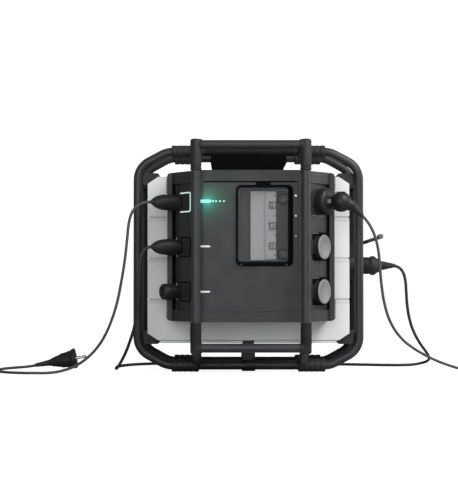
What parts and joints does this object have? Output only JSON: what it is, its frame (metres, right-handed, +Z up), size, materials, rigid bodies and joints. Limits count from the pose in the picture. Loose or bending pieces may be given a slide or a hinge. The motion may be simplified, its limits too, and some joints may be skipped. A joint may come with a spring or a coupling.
{
  "type": "power station",
  "caption": "Portable power station: battery tiers and a control module with inlets, outlets and a breaker window inside a tubular roll cage with a handle.",
  "frame": {"origin": "on the floor, under the centre of the object's box without its cords", "axes": "+Z up; -Y is the side with the control module and the handle; +X is the side with the outlets"},
  "size_m": [0.9406, 0.361, 0.407],
  "materials": {
    "cage_tube": "black powder coat, satin",
    "moulded_black": "moulded glass-filled plastic, fine grain",
    "housing_dark": "dark charcoal plastic, fine grain",
    "faceplate_dark": "dark grey plastic, fine grain",
    "shell_grey": "light grey plastic, fine grain",
    "breaker_grey": "light grey breaker plastic",
    "lid_grey": "light grey plastic",
    "window_clear": "clear polycarbonate",
    "rubber_black": "black rubber, satin",
    "pin_steel": "turned steel",
    "battery_blue": "wrapped cells",
    "board_metal": "machined heat sink"
  },
  "bodies": {
    "station": {"front_hoop_left": "cage_tube", "front_hoop_right": "cage_tube", "rear_hoop_left": "cage_tube", "rear_hoop_right": "cage_tube", "guard_upright_left": "cage_tube", "guard_upright_right": "cage_tube", "handle_tube": "cage_tube", "lower_guard_bar": "cage_tube", "guard_connector_top_left": "moulded_black", "guard_connector_top_right": "moulded_black", "guard_connector_bottom_left": "moulded_black", "guard_connector_bottom_right": "moulded_black", "rear_sleeve_top_left": "moulded_black", "rear_sleeve_top_right": "moulded_black", "rear_sleeve_bottom_left": "moulded_black", "rear_sleeve_bottom_right": "moulded_black", "corner_rail_top_left": "moulded_black", "corner_rail_top_right": "moulded_black", "corner_rail_bottom_left": "moulded_black", "corner_rail_bottom_right": "moulded_black", "top_saddle": "moulded_black", "bottom_clamp": "moulded_black", "module_housing": "housing_dark", "inlet_plate": "housing_dark", "socket_plate": "housing_dark", "side_socket": "housing_dark", "faceplate": "faceplate_dark", "body_tier_1": "shell_grey", "body_tier_2": "shell_grey", "body_tier_3": "shell_grey", "body_tier_4": "shell_grey", "rear_cover": "shell_grey", "breaker_bank": "breaker_grey", "fan_frame": "rubber_black", "charge_connector": "rubber_black", "link_connector": "rubber_black", "output_plug": "rubber_black", "side_plug": "rubber_black", "mains_plug": "rubber_black", "output_coupler": "rubber_black", "output_coil": "rubber_black", "charge_cord": "rubber_black", "link_cord": "rubber_black", "output_cord": "rubber_black", "window_hinge_pin": "pin_steel", "battery_pack": "battery_blue", "inverter_board": "board_metal"},
    "window": {"window_bezel": "rubber_black", "window_pane": "window_clear"},
    "toggle_1": {"breaker_toggle_1": "breaker_grey"},
    "toggle_2": {"breaker_toggle_2": "breaker_grey"},
    "toggle_3": {"breaker_toggle_3": "breaker_grey"},
    "power_key": {"power_button": "faceplate_dark"},
    "reset_key": {"reset_button": "faceplate_dark"},
    "lid_2": {"socket_lid_2": "lid_grey"},
    "lid_3": {"socket_lid_3": "lid_grey"},
    "side_cover": {"side_lid": "lid_grey"},
    "inlet_cap": {"port_cap": "rubber_black"},
    "fan": {"fan_rotor": "moulded_black"}
  },
  "joints": [
    {"name": "window_hinge", "type": "hinge", "parent": "station", "child": "window", "pos_m": [0.00125, -0.12585, 0.1913], "axis": [1, 0, 0], "range_deg": [0, 100]},
    {"name": "toggle_1_flip", "type": "hinge", "parent": "station", "child": "toggle_1", "pos_m": [0.01865, -0.11065, 0.2932], "axis": [0, 0, -1], "range_deg": [0, 40]},
    {"name": "toggle_2_flip", "type": "hinge", "parent": "station", "child": "toggle_2", "pos_m": [0.01865, -0.11065, 0.2578], "axis": [0, 0, -1], "range_deg": [0, 40]},
    {"name": "toggle_3_flip", "type": "hinge", "parent": "station", "child": "toggle_3", "pos_m": [0.01865, -0.11065, 0.2229], "axis": [0, 0, -1], "range_deg": [0, 40]},
    {"name": "power_press", "type": "slide", "parent": "station", "child": "power_key", "axis": [0, 1, 0], "range_m": [0, 0.0025], "stiffness_N_per_m": 300, "springref_m": -0.001},
    {"name": "reset_press", "type": "slide", "parent": "station", "child": "reset_key", "axis": [0, 1, 0], "range_m": [0, 0.0025], "stiffness_N_per_m": 300, "springref_m": -0.001},
    {"name": "lid_2_hinge", "type": "hinge", "parent": "station", "child": "lid_2", "pos_m": [0.1077, -0.07854, 0.2463], "axis": [-0.5573, -0.8303, 0], "range_deg": [0, 110], "stiffness_Nm_per_rad": 0.01, "springref_deg": -22.92},
    {"name": "lid_3_hinge", "type": "hinge", "parent": "station", "child": "lid_3", "pos_m": [0.1077, -0.07854, 0.1686], "axis": [-0.5573, -0.8303, 0], "range_deg": [0, 110], "stiffness_Nm_per_rad": 0.01, "springref_deg": -22.92},
    {"name": "side_lid_hinge", "type": "hinge", "parent": "station", "child": "side_cover", "pos_m": [0.17925, 0.06535, 0.229], "axis": [0, -1, 0], "range_deg": [-34, 22]},
    {"name": "inlet_cap_pull", "type": "slide", "parent": "station", "child": "inlet_cap", "axis": [-0.8647, -0.5022, 0], "range_m": [0, 0.03]},
    {"name": "fan_spin", "type": "hinge", "parent": "station", "child": "fan", "pos_m": [0.05425, 0.11535, 0.29], "axis": [0, 1, 0], "continuous": true}
  ]
}
